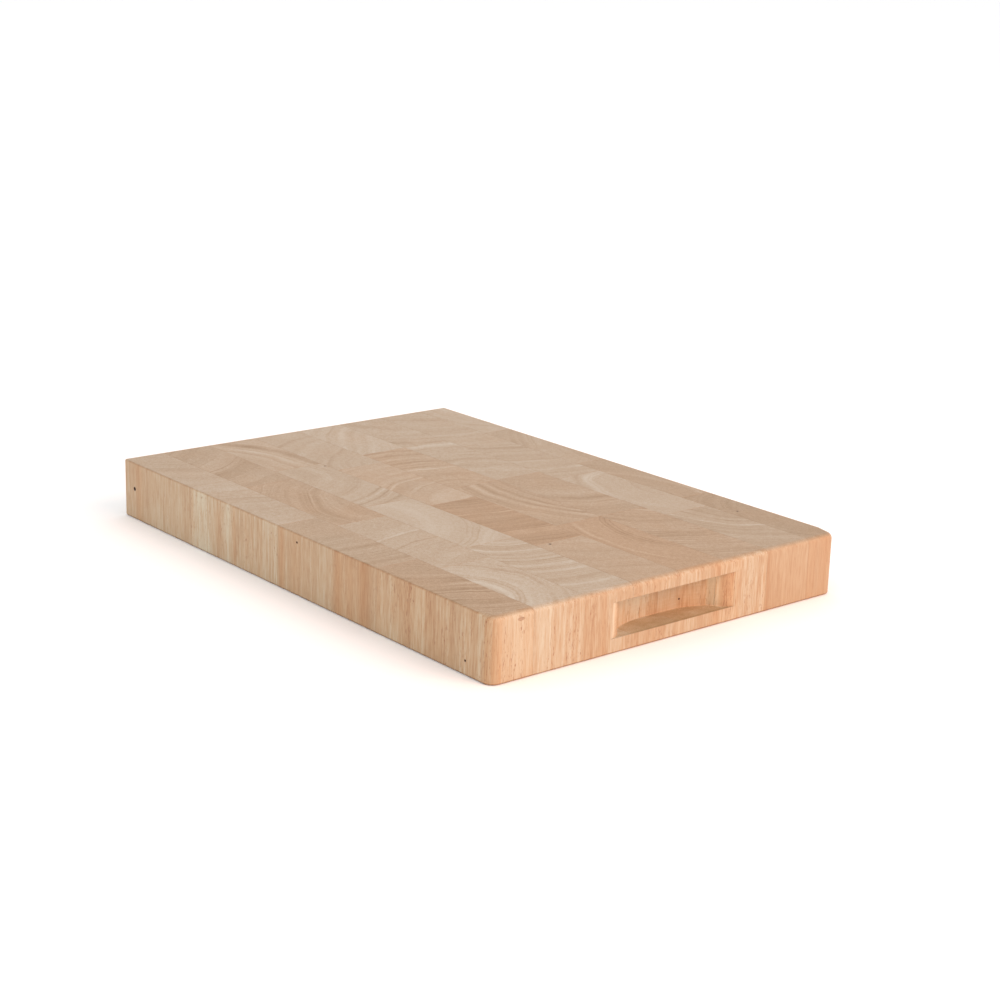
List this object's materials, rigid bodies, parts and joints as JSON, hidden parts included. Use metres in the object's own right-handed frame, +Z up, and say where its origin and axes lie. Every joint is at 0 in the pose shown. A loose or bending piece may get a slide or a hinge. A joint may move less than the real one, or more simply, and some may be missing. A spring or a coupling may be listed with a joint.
{
  "type": "cutting board",
  "caption": "Thick rectangular end-grain cutting board, glued up from staggered hardwood blocks, with a recessed finger grip in each short end.",
  "frame": {"origin": "on the surface that the board rests on, under the middle of the board", "axes": "+X along the board's length towards the end with rounded corners, +Y across its width towards the back, +Z up through the thickness, along the wood's grain"},
  "size_m": [0.5, 0.35, 0.05],
  "materials": {
    "wood_pale": "pale rubberwood, fine sanded and lightly oiled, matt to satin",
    "wood_cream": "cream rubberwood, fine sanded and lightly oiled, matt to satin",
    "wood_tan": "tan rubberwood, fine sanded and lightly oiled, matt to satin",
    "wood_brown": "brown rubberwood, fine sanded and lightly oiled, matt to satin"
  },
  "bodies": {
    "root": {"row1_block1": "wood_brown", "row1_block2": "wood_tan", "row1_block3": "wood_cream", "row1_block4": "wood_tan", "row2_block1": "wood_pale", "row2_block2": "wood_cream", "row2_block3": "wood_brown", "row2_block4": "wood_brown", "row3_block1": "wood_pale", "row3_block2": "wood_pale", "row3_block3": "wood_tan", "row3_block4": "wood_tan", "row4_block1": "wood_tan", "row4_block2": "wood_brown", "row4_block3": "wood_tan", "row4_block4": "wood_tan", "row5_block1": "wood_brown", "row5_block2": "wood_brown", "row5_block3": "wood_tan", "row5_block4": "wood_cream", "row6_block1": "wood_brown", "row6_block2": "wood_brown", "row6_block3": "wood_cream", "row6_block4": "wood_tan", "row7_block1": "wood_tan", "row7_block2": "wood_pale", "row7_block3": "wood_cream", "row7_block4": "wood_tan", "row8_block1": "wood_brown", "row8_block2": "wood_brown", "row8_block3": "wood_tan", "row8_block4": "wood_cream"}
  },
  "joints": []
}
